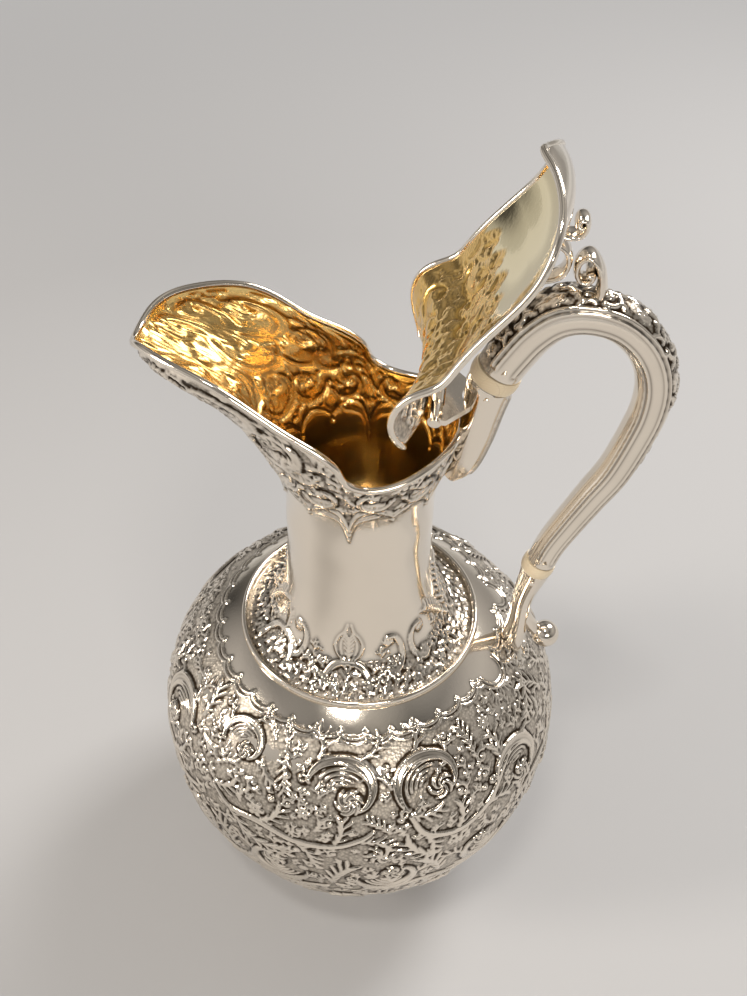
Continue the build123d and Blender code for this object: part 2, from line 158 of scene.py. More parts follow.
class Chasing:
    """Work raised on a sheet: heights in millimetres over a map of its surface.

    The map has a row for each step along the sheet and a column for each step round or
    across it. Motifs are drawn in millimetres from the place that at() sets, with their
    second axis up, which is towards the map's end, or its start where up is -1.
    """

    def __init__(self, length, width_at, columns, step=0.33, up=1, closed=True):
        self.step, self.columns, self.up, self.closed = step, columns, up, closed
        self.rows = int(length / step) + 2
        self.width = np.array([width_at(row * step) for row in range(self.rows)])
        self.height = np.zeros((self.rows, columns))
        self.cuts = np.zeros((self.rows, columns))
        self.random = np.random.default_rng(7)
        self.at(0, 0)

    def at(self, share, along, turn=0):
        self.share, self.along = share, along
        self.cos, self.sin = np.cos(np.radians(turn)), np.sin(np.radians(turn))

    def patch(self, x, y, size):
        """The part of the map near a place, and how far off each of its points is."""
        x, y = x * self.cos - y * self.sin, x * self.sin + y * self.cos
        row = (self.along + self.up * y) / self.step
        low = max(int(row - size / self.step), 0)
        high = min(int(row + size / self.step) + 2, self.rows)
        if high <= low:
            return None
        across = self.width[min(max(int(row), 0), self.rows - 1)] / self.columns
        column = self.share * self.columns + x / across
        reach = size / across
        rows = np.arange(low, high)
        cols = np.arange(int(np.floor(column - reach)), int(column + reach) + 2)
        if not self.closed:
            cols = cols[(cols >= 0) & (cols < self.columns)]
        if not 0 < len(cols) <= self.columns:
            return None
        far = ((cols - column) * across)[None, :] ** 2 + ((rows - row) * self.step)[:, None] ** 2
        return np.ix_(rows, cols % self.columns), far / size**2

    def dab(self, x, y, size, height):
        found = self.patch(x, y, size)
        if found:
            here, far = found
            dome = height * np.sqrt(np.clip(1 - far, 0, 1))
            self.height[here] = np.maximum(self.height[here], dome)

    def cut(self, x, y, size, depth):
        found = self.patch(x, y, size)
        if found:
            here, far = found
            self.cuts[here] = np.maximum(self.cuts[here], depth * np.clip(1 - far, 0, 1))

    def clear(self, x, y, size):
        """Takes away what is raised round a place."""
        found = self.patch(x, y, size)
        if found:
            here, far = found
            self.height[here] *= far > 1
            self.cuts[here] *= far > 1

    def empty(self, size):
        found = self.patch(0, 0, size)
        return found is not None and float((self.height[found[0]] * (found[1] < 1)).mean()) < 0.05

    def ridge(self, points, start, end, height, middle=None):
        """A raised line whose half-width goes from start to end, by way of middle."""
        widest = max(start, end, middle or 0)
        line = smooth_line(points, 0.3)
        for i, (x, y) in enumerate(line):
            t = i / (len(line) - 1)
            size = start + (end - start) * t
            if middle is not None:
                size += (middle - (start + end) / 2) * np.sin(np.pi * t)
            self.dab(x, y, max(size, 0.3), height * (0.6 + 0.4 * size / widest))

    def furrow(self, points, size, depth):
        for x, y in smooth_line(points, 0.35):
            self.cut(x, y, size, depth)

    def mirrored(self):
        """Repeats the work on the other side."""
        for values in (self.height, self.cuts):
            other = values[:, ::-1]
            values[:] = np.maximum(values, np.roll(other, 1, 1) if self.closed else other)

    def soften(self, values, passes):
        for _ in range(passes):
            edge = np.pad(values, ((1, 1), (0, 0)), "edge")
            values = (edge[:-2] + 2 * edge[1:-1] + edge[2:]) / 4
            edge = np.pad(values, ((0, 0), (1, 1)), "wrap" if self.closed else "edge")
            values = (edge[:, :-2] + 2 * edge[:, 1:-1] + edge[:, 2:]) / 4
        return values

    def finish(self, plain):
        """Settles the heights, and finds the recesses, which shade, and the flat ground.

        Plain is the share, row by row or point by point, that is left smooth.
        """
        darkest, flat = 0.36, 0.12
        self.height = self.soften(self.height - np.minimum(self.cuts, self.height), 1) * (1 - plain)
        recess = self.soften(self.height, 16) - self.height
        self.shade = np.clip(recess / darkest, 0, 1) * (1 - plain)
        self.ground = np.clip(1 - self.height / flat, 0, 1) * (1 - plain)

    def read(self, values, share, along):
        """The values of a map at places between its points."""
        rows, columns = along / self.step, share * self.columns
        r0 = np.clip(np.floor(rows).astype(int), 0, self.rows - 2)
        fr = np.clip(rows - r0, 0, 1)
        if self.closed:
            c0 = np.floor(columns).astype(int)
            fc, c0, c1 = columns - c0, c0 % self.columns, (c0 + 1) % self.columns
        else:
            c0 = np.clip(np.floor(columns).astype(int), 0, self.columns - 2)
            fc, c1 = np.clip(columns - c0, 0, 1), c0 + 1
        top = values[r0, c0] * (1 - fc) + values[r0, c1] * fc
        return top * (1 - fr) + (values[r0 + 1, c0] * (1 - fc) + values[r0 + 1, c1] * fc) * fr


def around(x, y, reach, turn):
    """The place at a distance from another, and at an angle in radians."""
    return x + reach * np.cos(turn), y + reach * np.sin(turn)


def spiral(x, y, size, start, turns, hand, inner=0.16):
    """Points of a scroll that winds in to its eye. Angles are in degrees."""
    t = np.linspace(0, 1, int(12 * turns) + 4)
    reach = size * (1 - (1 - inner) * t**0.9)
    turn = np.radians(start) + hand * 2 * np.pi * turns * t
    return np.stack(around(x, y, reach, turn), 1)


def ribbon(work, points, width, height, start=0.15, end=0.15):
    """A broad band that swells towards its middle, with a raised line along both edges."""
    line = smooth_line(points, 0.35)
    t = np.linspace(0, 1, len(line))
    half = width * (start + (end - start) * t + (1 - (start + end) / 2) * np.sin(np.pi * t) ** 0.8)
    along = np.gradient(line, axis=0)
    along /= np.linalg.norm(along, axis=1)[:, None]
    for (x, y), (ox, oy), size in zip(line, along[:, ::-1] * (-1, 1), half):
        work.dab(x, y, max(size, 0.35), height * 0.6)
        for side in (-0.72 * size, 0.72 * size):
            work.dab(x + side * ox, y + side * oy, max(0.25 * size, 0.33), height)


def whorl(work, x, y, size, petals=5, twist=120, hand=1, height=1.2):
    """Thin crescent petals that turn about an eye, like a bud that is being wound up."""
    t = np.linspace(0, 1, 7)
    for petal in range(petals):
        turn = np.radians(360 * petal / petals + hand * twist * t)
        reach = size * (0.08 + 0.92 * t**0.8)
        line = np.stack(around(x, y, reach, turn), 1)
        work.ridge(line, 0.08 * size, 0.1 * size, height, middle=0.2 * size)
    work.dab(x, y, 0.15 * size, height * 1.1)


def leaf(work, x, y, angle, length, width, bend=30, height=1.0):
    """An acanthus leaf: long furrowed lobes that flow forward from a bent spine."""
    t = np.linspace(0, 1, 13)
    turn = np.radians(angle + bend * t)
    spine = np.stack([x + np.cumsum(np.cos(turn)) * length / 13,
                      y + np.cumsum(np.sin(turn)) * length / 13], 1)
    work.ridge(spine, 0.42 * width, 0.1 * width, height * 0.4)
    lobes = max(int(length / (0.9 * width)), 3)
    for at in np.linspace(0.02, 0.84, lobes):
        base = [np.interp(at, t, spine[:, i]) for i in (0, 1)]
        reach = width * (1.0 + 1.1 * np.sin(np.pi * (0.12 + 0.76 * at)))
        for side in (-1, 1):
            s = np.linspace(0, 1, 7)
            lean = np.interp(at, t, turn) + side * np.radians(10 + 52 * s - 22 * s**3)
            lobe = np.stack([base[0] + np.cumsum(np.cos(lean)) * reach / 7,
                             base[1] + np.cumsum(np.sin(lean)) * reach / 7], 1)
            work.ridge(lobe, 0.1 * width, 0.1 * width, height * 0.85, middle=0.2 * width)
    work.ridge(spine, 0.12 * width, 0.05 * width, height)


def flower(work, x, y, size, height=1.1):
    """A flower of six round petals, each with a furrow along its middle."""
    petals = 6
    for petal in range(petals):
        turn = 2 * np.pi * petal / petals
        for t, share in ((0.42, 0.22), (0.6, 0.3), (0.76, 0.27)):
            work.dab(*around(x, y, size * t, turn), size * share, height * 0.8)
        work.furrow([around(x, y, size * t, turn) for t in (0.3, 0.6, 0.95)], 0.3, 0.35)
    work.dab(x, y, size * 0.26, height * 1.2)


def berries(work, x, y, size, height):
    """A close bunch of berries."""
    count = 7
    for i in range(count):
        turn, reach = 2.4 * i, size * np.sqrt(i / count)
        work.dab(*around(x, y, reach, turn), size * 0.3, height)


def curl(work, x, y, size, angle, hand=1, height=0.95):
    """A small curled tendril with leaflets on its back, which fills a gap."""
    line = spiral(x, y, 0.62 * size, angle, 1.05, hand, inner=0.25)
    work.ridge(line, 0.16 * size, 0.1 * size, height)
    work.dab(x, y, 0.17 * size, height * 1.1)
    for i, share in ((1, 0.5), (4, 0.62), (7, 0.5)):
        px, py = line[i]
        out = np.degrees(np.arctan2(py - y, px - x)) - hand * 25
        tip = around(px, py, share * size, np.radians(out))
        leaflet = [(px, py), ((px + tip[0]) / 2, (py + tip[1]) / 2), tip]
        work.ridge(leaflet, 0.12 * size, 0.05 * size, height * 0.9, middle=0.17 * size)


def great_scroll(work, size, start, hand, sweep, petals, leaves, height=1.4):
    """A broad C-scroll that thins at both ends and turns in to a twisted whorl.

    Long flutes lie in its bend like the barbs of a wing, and leaves flow off its back.
    """

    def arc(first, last, reach):
        turn = np.radians(start + hand * sweep * np.linspace(first, last, 12))
        reach = size * np.broadcast_to(reach, 12)
        return np.stack(around(0, 0, reach, turn), 1)

    band = arc(0, 1, 1 - 0.36 * np.linspace(0, 1, 12) ** 2.5)
    for i in range(4):
        work.ridge(arc(0.1 + 0.04 * i, 0.66 - 0.07 * i, 0.75 - 0.135 * i), 0.03 * size, 0.03 * size,
                   height * (0.7 - 0.06 * i), middle=0.062 * size)
    ribbon(work, band, 0.16 * size, height)
    whorl(work, *(0.42 * band[-1]), 0.36 * size, petals, hand=hand, height=height)
    tail = spiral(*(1.12 * band[0]), 0.17 * size, start + 180, 0.9, -hand, inner=0.2)
    work.ridge(tail, 0.05 * size, 0.05 * size, height * 0.8)
    for i in range(leaves):
        px, py = 1.13 * band[2 + 3 * i]
        leaf(work, px, py, np.degrees(np.arctan2(py, px)) + hand * 75, 0.8 * size, 0.2 * size,
             bend=-hand * 85, height=height * 0.6)


def fill(work, sizes, tries, low, high, left, right):
    """Fills what is left of the ground with tendrils, leaves, berries and small flowers."""
    for size in sizes:
        for _ in range(tries):
            work.at(work.random.uniform(left, right), work.random.uniform(low, high))
            if work.empty(size * 1.1):
                kind = work.random.uniform()
                angle, hand = work.random.uniform(0, 360), 1 if work.random.uniform() < 0.5 else -1
                if kind < 0.6 or size < 2:
                    curl(work, 0, 0, size, angle, hand, height=0.65)
                elif kind < 0.88:
                    foot = around(0, 0, -0.6 * size, np.radians(angle))
                    leaf(work, *foot, angle, 1.7 * size, 0.42 * size, bend=50 * hand, height=0.65)
                elif kind < 0.95:
                    flower(work, 0, 0, size * 0.8, height=0.8)
                else:
                    berries(work, 0, 0, size * 0.6, height=0.6)


def sheet(rows, columns):
    """A unit sheet, to be bent round. Settling it closes its seam."""
    made = bmesh.new()
    bmesh.ops.create_grid(made, x_segments=columns, y_segments=rows, size=0.5)
    return made


def piece(name, made, material, body="jug", cad=()):
    """Makes a bmesh an object that rides on a body."""
    mesh = bpy.data.meshes.new(name)
    made.to_mesh(mesh)
    made.free()
    made = bpy.data.objects.new(name, mesh)
    bpy.context.collection.objects.link(made)
    mesh.materials.append(material)
    mesh.shade_smooth()
    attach(made, body)
    if cad:
        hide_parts(*cad)
    return made


def places(made):
    """How far round and how far up its sheet each of a piece's vertices is, from 0 to 1."""
    flat = np.empty(3 * len(made.data.vertices))
    made.data.vertices.foreach_get("co", flat)
    at = flat.reshape(-1, 3)
    return at[:, 0] + 0.5, at[:, 1] + 0.5


def edit(made, change):
    """Changes a piece's mesh with a function of its bmesh."""
    work = bmesh.new()
    work.from_mesh(made.data)
    change(work)
    work.to_mesh(made.data)
    work.free()


def settle(made, positions, **values):
    """Moves a piece's vertices to places in millimetres, and keeps values on them.

    Points that meet, at a seam or at a pole, are merged.
    """
    made.data.vertices.foreach_set("co", (positions * 0.001).ravel())
    for name, numbers in values.items():
        kept = made.data.attributes.new(name, "FLOAT", "POINT")
        kept.data.foreach_set("value", np.asarray(numbers, float).ravel())
    edit(made, lambda work: bmesh.ops.remove_doubles(work, verts=work.verts[:], dist=1e-6))
    made.data.shade_smooth()


# The outline of the shell, from the shoulder down to the foot.
body_radius, belly_z, lower_curve, upper_curve, upper_power = 74.7, 87.0, 88.0, 55.5, 2.245
shoulder_z, foot_z = 135.0, 9.0
body_top, body_middle = np.linspace(shoulder_z, 120, 600), np.linspace(120, foot_z, 900)[1:]
outline_z = np.concatenate([body_top, body_middle])
below = np.sqrt(np.clip(1 - ((belly_z - outline_z) / lower_curve) ** 2, 0, 1))
above = (1 - np.clip((outline_z - belly_z) / upper_curve, 0, 1) ** upper_power) ** (1 / upper_power)
outline_r = body_radius * np.where(outline_z < belly_z, below, above)
outline_s = np.concatenate([[0], np.cumsum(np.hypot(np.diff(outline_r), np.diff(outline_z)))])
body_length = outline_s[-1]
body_work = Chasing(
    body_length, lambda s: 2 * np.pi * np.interp(s, outline_s, outline_r),
    columns=1680, step=0.28, up=-1,
)


def down_body(z):
    """How far down the body's outline a height is."""
    return np.interp(-z, -outline_z, outline_s)


def on_body(angle, z, turn=0):
    """Sets the place of the next motif: degrees round the body, and a height."""
    body_work.at(angle / 360, down_body(z), turn)
    return body_work


# A border of thin double arches, each joint tipped with a trefoil, closes the ornament
# above, and leaves a plain polished band under the shoulder wire.
arches, border_z = 18, 131.2
arch_line = ((-4.4, 0), (-3.4, -1), (-1.8, -1.6), (0, -1.8), (1.8, -1.6), (3.4, -1), (4.4, 0))
for arch in range(arches):
    on_body(-180 + 180 / arches * (arch + 0.5), border_z)
    for drop, size, height in ((0, 0.42, 0.7), (-1.7, 0.35, 0.5)):
        body_work.ridge([(x, y + drop) for x, y in arch_line], size, size, height)
    on_body(-180 + 180 / arches * arch, border_z)
    for x, y in ((0, 0.9), (-0.6, 0.2), (0.6, 0.2)):
        body_work.dab(x, y, 0.45, 0.7)

# The upper row of great scrolls, with beads, a flower and a rosette between them.
for angle, z, size, start, sweep, hand, petals in (
    (-122.3, 121.5, 8.5, 200, 235, -1, 5), (-87.6, 117.5, 12.5, 165, 205, -1, 6),
    (-60.7, 117.2, 12.0, 215, 235, -1, 5), (-31.9, 104.0, 11.5, 160, 225, -1, 5),
    (-152.0, 108.0, 12.5, 20, 230, 1, 6),
):
    great_scroll(on_body(angle, z), size, start, hand, sweep, petals, leaves=2)
for angle, z in (
    (-105, 119.9), (-106.8, 115.8), (-108.1, 111.5), (-134.9, 127),
    (-73.9, 124), (-71, 109), (-45, 108),
):
    on_body(angle, z).dab(0, 0, 1.3, 1.2)
flower(on_body(-98.3, 110.5), 0, 0, 2.6)
rosette, rosette_beads = (-77.1, 94), 14
whorl(on_body(*rosette), 0, 0, 4.4, petals=6, twist=60, height=1.3)
for i in range(rosette_beads):
    on_body(*rosette, turn=i * 360 / rosette_beads).dab(5.2, 0, 0.5, 0.7)
leaf(on_body(-141, 121.7), 0, -4, 80, 12, 3.2)

# Long stems wind under the scrolls, with furrowed leaves on them.
for angle, z, points in (
    (-101, 100, [(-33, 4), (-25, -1), (-12, 0.5), (2, -2.2), (15, -1.4), (24, 2.5), (28, 6)]),
    (-52, 101, [(-20, 9), (-16, 0), (-4, -4.5), (9, 0), (17, 8), (24, 14)]),
    (-152, 92, [(-20, -6), (-10, 0), (4, 1), (15, -3), (24, 1)]),
    (-16, 94, [(-22, -8), (-12, -2), (0, -1), (12, -5), (22, -1)]),
    (-118, 64, [(-36, 4), (-20, -2), (-2, 2), (16, -3), (34, 3)]),
    (-52, 64, [(-30, -2), (-16, 3), (0, -2), (16, 3), (32, -2)]),
):
    on_body(angle, z)
    ribbon(body_work, points, 1.25, 1.0, start=0.4, end=0.25)
    for (x0, y0), (x1, y1), side in zip(points, points[1:], (1, -1, 1, -1, 1, -1)):
        lean = np.degrees(np.arctan2(y1 - y0, x1 - x0))
        leaf(body_work, x0, y0 + 1.2 * side, lean + side * 32, 11, 2.6, bend=side * 50, height=0.9)
for angle, z, turn, length, bend in (
    (-98.4, 93.0, 200, 17, 60), (-116.7, 92.0, 330, 19, 50), (-60.0, 88.0, 170, 18, -60),
    (-45.0, 119.0, 80, 12, 30), (-12.0, 124.0, 250, 16, -40), (-8.0, 112.0, 100, 15, 40),
    (-170.0, 122.0, 260, 15, 40), (-174.0, 100.0, 80, 18, -40),
    (-106.0, 125.0, 265, 13, 25), (-74.0, 104.0, 120, 10, 40),
):
    leaf(on_body(angle, z), 0, 0, turn, length, 0.19 * length, bend=bend, height=1.1)

# Two more rows go round below, turned the other way in every second scroll.
for tier, (z, size, count, first) in enumerate(((79.0, 11.5, 6, -165), (48.0, 11.0, 5, -162))):
    for i in range(count):
        hand = 1 if (i + tier) % 2 else -1
        angle, between = (first + j * 180 / count for j in (i, i + 0.5))
        start, sweep = 90 + hand * 100, 215 + 10 * (i % 3)
        great_scroll(on_body(angle, z), size, start, hand, sweep, 5, leaves=3)
        leaf(on_body(between, z - 8), 0, 0, 90, 17, 3.6, bend=hand * 45)
for arch in range(15):
    on_body(-180 + 12 * (arch + 0.5), 27)
    body_work.ridge([(-4.6, 0), (-2.6, 1.6), (0, 2.2), (2.6, 1.6), (4.6, 0)], 0.5, 0.5, 0.95)
    leaf(body_work, 0, -1, -90, 9, 2.4, bend=0)

fill(body_work, (4.2, 3.2, 2.4, 1.8, 1.3), 420, down_body(127.5), down_body(31), left=-0.5, right=0)

# Beside the handle the border dips round a plain polished lobe.
lobe_angle = 19.7
on_body(-lobe_angle, 129.6)
body_work.clear(0, 0.6, 6.4)
for inset, size, height in ((0, 0.45, 0.8), (1.5, 0.35, 0.5)):
    reach = 6.6 - inset
    turn = np.radians(np.linspace(170, 370, 9))
    body_work.ridge(np.stack(around(0, 1.2, reach, turn), 1), size, size, height)
body_work.mirrored()
body_rows = np.arange(body_work.rows)[:, None] * body_work.step
chased_from, chased_to = down_body(133.6), down_body(14.0)
body_plain = np.clip(1 - (body_rows - chased_from) / 0.8, 0, 1)
body_plain += np.clip((body_rows - chased_to) / 2, 0, 1)
body_work.finish(body_plain)

# The matted ground stops at the border's arches and at its lobe.
body_angle = np.arange(body_work.columns) / body_work.columns * 360
from_handle = np.abs((body_angle + 180) % 360 - 180)
lobe = np.exp(-(((from_handle - lobe_angle) / 6) ** 4))
matted = down_body(130.2 - 0.9 * np.cos(np.radians(2 * arches * body_angle)) - 5.2 * lobe)
body_work.ground *= np.clip((body_rows - matted[None, :]) / 0.6, 0, 1)

# The skin lies over the shell in zones, to keep each piece light.
zones, clear_of_shell = 6, 0.06
for zone in range(zones):
    skin = piece(f"body_chasing_{zone + 1}", sheet(82, 1200), chased_silver)
    share, up = places(skin)
    s = (zone + 1 - up) / zones * body_length
    lift = body_work.read(body_work.height, share, s) + clear_of_shell
    slope_r = np.interp(s, outline_s, np.gradient(outline_r, outline_s))
    slope_z = np.interp(s, outline_s, np.gradient(outline_z, outline_s))
    r = np.interp(s, outline_s, outline_r) - slope_z * lift
    z = np.interp(s, outline_s, outline_z) + slope_r * lift
    settle(
        skin,
        np.stack([r * np.cos(2 * np.pi * share), r * np.sin(2 * np.pi * share), z], 1),
        shade=body_work.read(body_work.shade, share, s),
        ground=body_work.read(body_work.ground, share, s),
    )

# --- Neck and spout ------------------------------------------------------------------
# The neck is raised in one with the leaf-shaped mouth, chased at its base and under its
# rim, and gilt inside, where the same work shows from its hollow side.

gold = metal("gilding", (1.0, 0.72, 0.29), (0.30, 0.13, 0.02), gloss=0.18, dull=0.32)

# Height over the shoulder, then how far the neck reaches to the back, to each side and
# to the front. The dip is the mouth's edge from the side: X, and height over the shoulder.
neck_rows = smooth_line(
    [(0, 40.75, 40.75, 40.75), (4.2, 33.5, 33.5, 33.5), (11, 29, 29, 29), (24, 25.8, 25.8, 25.8),
     (40, 24.3, 24.3, 24.3), (52, 24.2, 24.2, 24.2), (64, 24.4, 24.3, 23.8), (76, 26.6, 26.2, 25.8),
     (88, 30, 29, 31), (98, 31, 29.7, 38.5), (105, 31.2, 29.6, 46.5), (110, 31.3, 29.6, 55.3),
     (114, 31.4, 29.6, 62.8), (118, 31.45, 29.8, 65.6), (127, 31.6, 30.3, 66.8)], 0.5
)
neck_mean = neck_rows @ np.array([0, 0.25, 0.5, 0.25])
neck_u = np.concatenate([[0], np.cumsum(np.hypot(np.diff(neck_rows[:, 0]), np.diff(neck_mean)))])
dip = smooth_line(
    [(-71, 105), (-65.6, 114.9), (-62.2, 119.1), (-51.9, 120.8), (-34.7, 117.4), (-18.7, 107),
     (-4.6, 98.6), (-2.2, 95.6), (-0.5, 92), (2.6, 89.6), (8.5, 88.2), (16.4, 89.3), (24.2, 91.6),
     (35, 92)], 0.5
)


def neck_point(share, u):
    """A place on the outside of the neck, from the share round it and the way up it."""
    level, back, half, reach = (np.interp(u, neck_u, neck_rows[:, i]) for i in range(4))
    turn = 2 * np.pi * share
    x = np.where(np.cos(turn) > 0, back, reach) * np.cos(turn)
    return np.stack(np.broadcast_arrays(x, half * np.sin(turn), shoulder_z + level), -1)


def up_neck(level):
    """How far up the neck's outline a level above the shoulder is."""
    return np.interp(level, neck_rows[:, 0], neck_u)


# The mouth's edge is where the neck first rises above the dip.
rim_share = np.linspace(0, 1, 721)
tries = np.linspace(up_neck(84), neck_u[-1], 900)
scan = neck_point(rim_share[:, None], tries[None, :])
over = scan[..., 2] - shoulder_z > np.interp(scan[..., 0], dip[:, 0], dip[:, 1])
rim_u = tries[np.argmax(over, axis=1)]
rim_u = np.convolve(np.pad(rim_u[:-1], 3, "wrap"), np.ones(7) / 7, "valid")
rim_u = np.append(rim_u, rim_u[0])

neck_work = Chasing(neck_u[-1], lambda u: 2 * np.pi * np.interp(u, neck_u, neck_mean), columns=900)


def on_neck(angle, level):
    """Sets the place of the next motif: degrees round the neck, and a level."""
    neck_work.at(angle / 360, up_neck(level))
    return neck_work


# Base: an arch between volutes with a flame on it, bunches of leaves and tall C-scrolls
# beside it, and plumes that stand up the neck over the spout and the handle.
base_arch = [(-8, 0), (-7.4, 5), (-4.4, 9), (0, 10.4), (4.4, 9), (7.4, 5), (8, 0)]
tall_scroll = [(3.2, 7.5), (0.2, 6.6), (-1.8, 2), (-1.2, -3.4), (1.8, -6.4), (4.4, -5.2)]
for angle in (-90, -141):
    on_neck(angle, 1.6)
    ribbon(neck_work, base_arch, 1.1, 0.9, 0.5, 0.5)
    leaf(neck_work, 0, 0, 90, 7.5, 2.2, bend=0, height=0.8)
    leaf(neck_work, 0, 11, 90, 10 if angle == -90 else 8, 1.7, bend=0, height=0.6)
    for side in (-1, 1):
        neck_work.ridge(spiral(side * 10, 0.8, 2.1, 90 - side * 90, 1.1, side), 0.5, 0.4, 0.9)
        flame = [(1.0, 11), (3.6, 13.2), (4.7, 16.5), (3.6, 20), (1.7, 22.8), (0.7, 26)]
        if angle == -90:
            neck_work.ridge([(side * x, y) for x, y in flame], 0.55, 0.3, 0.65)
            neck_work.ridge([(side * 0.6 * x, y) for x, y in flame], 0.35, 0.3, 0.4)
for angle in (-168, -113, -67, -20):
    for x, y, size, turn, side in (
        (-4.2, 3.6, 3.4, 200, 1), (4.2, 3.6, 3.4, -20, -1), (-2.6, 8.6, 2.9, 150, 1),
        (2.8, 9.2, 2.9, 30, -1), (0.2, 13.4, 2.4, 90, 1), (0, 5.2, 2.6, 270, 1),
        (-7.6, 1.6, 2.4, 120, -1), (7.6, 1.6, 2.4, 60, 1),
    ):
        on_neck(angle, 1.8)
        curl(neck_work, x, y, size, turn, side, height=0.9)
        neck_work.dab(x + 0.8 * size, y - 0.6, 0.55, 0.8)
    berries(neck_work, 0, 1, 1.7, height=0.9)
for i in range(34):
    on_neck(-180 + 5.4 * i, 0.9).dab(0, 0, 0.7, 0.7)
for angle, hand in ((-42, 1), (-125, -1), (-57, -1)):
    on_neck(angle, 10)
    ribbon(neck_work, [(hand * x, y) for x, y in tall_scroll], 0.95, 0.85, 0.35, 0.35)
    whorl(neck_work, hand * 2.6, 5.4, 1.9, hand=hand, height=0.8)
    whorl(neck_work, hand * 2.6, -4.2, 1.9, hand=-hand, height=0.8)
for angle in (-180, 0):
    on_neck(angle, 6)
    leaf(neck_work, 0, 0, 90, 27, 3.4, bend=0, height=0.9)
    for side in (-1, 1):
        leaf(neck_work, side * 2.5, 0, 90 - side * 20, 19, 2.6, bend=-side * 28, height=0.85)
fill(neck_work, (2.4, 1.7, 1.2), 160, 2.0, up_neck(9), left=-0.5, right=0)

# Collar: a line of pointed arches hangs round the neck, with a leaf at its lowest point.
collar_level, collar_radius = 74, 25.5
collar = ((-180, 74), (-150, 71), (-120, 72), (-90, 66), (-60, 72), (-30, 71), (0, 72))
for (a0, low0), (a1, low1) in zip(collar, collar[1:]):
    middle, half = (a0 + a1) / 2, 0.5 * (a1 - a0) / 360 * 2 * np.pi * collar_radius
    on_neck(middle, collar_level + 1)
    left_end, right_end = (-half, low0 - collar_level), (half, low1 - collar_level)
    arch = [left_end, (-0.6 * half, 0.4), (0, 2.2), (0.6 * half, 0.4), right_end]
    neck_work.ridge(arch, 0.5, 0.5, 0.8)
    neck_work.ridge([(x, y + 1.5) for x, y in arch], 0.35, 0.35, 0.5)
    on_neck(a0, low0)
    neck_work.dab(0, -0.4, 0.8, 1.0)
on_neck(-90, 70)
for side in (-1, 1):
    for inset, height in ((0, 0.6), (1.1, 0.45), (2.2, 0.35)):
        pendant = [(side * x * (1 - 0.12 * inset), y + 0.9 * inset) for x, y in
                   ((9, 4.4), (6, 3.6), (3, 2.2), (1.3, -1.5), (0.5, -5), (0, -8))]
        neck_work.ridge(pendant, 0.4, 0.32, height)
for angle, level, size, hand in (
    (-106, 83, 5.0, 1), (-74, 83, 5.0, -1), (-44, 83, 5.2, 1), (-16, 83, 5.0, -1),
    (-132, 86, 6.5, -1), (-157, 89, 8.0, 1), (-178, 99, 9.0, -1), (-150, 103.5, 9.5, -1),
    (-124, 99, 8.0, 1), (-167, 110, 9.5, 1), (-178, 114.5, 7.0, -1), (-135, 110, 8.5, 1),
    (-114, 93, 5.0, -1), (-150, 113, 7.0, 1),
):
    great_scroll(on_neck(angle, level), size, 90 + 100 * hand, hand, 240, 5, height=1.25, leaves=2)
fill(neck_work, (3.4, 2.6, 1.9, 1.4), 320, up_neck(77), neck_u[-1] - 4, left=-0.5, right=0)
neck_work.mirrored()
neck_along = np.arange(neck_work.rows)[:, None] * neck_work.step
neck_round = np.arange(neck_work.columns)[None, :] / neck_work.columns
near_rim = np.interp(neck_round, rim_share, rim_u) - neck_along
neck_work.finish(np.clip(1.0 - (near_rim - 1.6) / 0.8, 0, 1))
above_base = np.clip((neck_along - 13) / 2, 0, 1)
below_collar = np.clip((up_neck(collar_level) - neck_along) / 1.5, 0, 1)
neck_work.ground *= 1 - above_base * below_collar

# The lining stands in by the wall, less at the rim, and shows the work a little softer.
wall = 1.2
for name, side, sharpness, material, slot, cad in (
    ("neck_chasing", 0.0, 1.0, chased_silver, "silver", ("neck_spout",)),
    ("neck_lining", -wall, 0.85, gold, "gilding", ()),
):
    skin = piece(name, sheet(200, 480), material, cad=cad)
    share, up = places(skin)
    u = up * np.interp(share, rim_share, rim_u)
    along = neck_point(share, u + 0.05) - neck_point(share, u - 0.05)
    round_it = neck_point(share + 0.0005, u) - neck_point(share - 0.0005, u)
    out = np.cross(round_it, along)
    out /= np.linalg.norm(out, axis=1)[:, None]
    inset = side * np.clip(0.6 + 16 * (1 - up), 0, 1)
    lift = inset + sharpness * neck_work.read(neck_work.height, share, u)
    where = neck_point(share, u) + out * lift[:, None]
    if side:
        shade = np.clip(neck_work.read(neck_work.height, share, u) * 0.35, 0, 1)
        shade += 0.5 * neck_work.read(neck_work.shade, share, u)
        skin.data.flip_normals()
    else:
        shade = neck_work.read(neck_work.shade, share, u)
    ground = neck_work.read(neck_work.ground, share, u) * (0.4 if side else 1)
    settle(skin, where, shade=shade, ground=ground)

# --- Lid -----------------------------------------------------------------------------
# The lid is a leaf-shaped sheet, arched along its middle, wired round its edge and gilt
# inside. It is drawn closed on the mouth, and turned open about its hinge.

# The lining's pale gilding is a painted reflection of bright light; where it is chased it turns a
# deep gold.
lid_gold = metal("pale gilding with painted reflection", (0.95, 0.83, 0.55), (1.0, 0.60, 0.14), gloss=0.06, dull=0.2)
hinge_x, hinge_z, opened = 23.0, 237.6, np.radians(95)

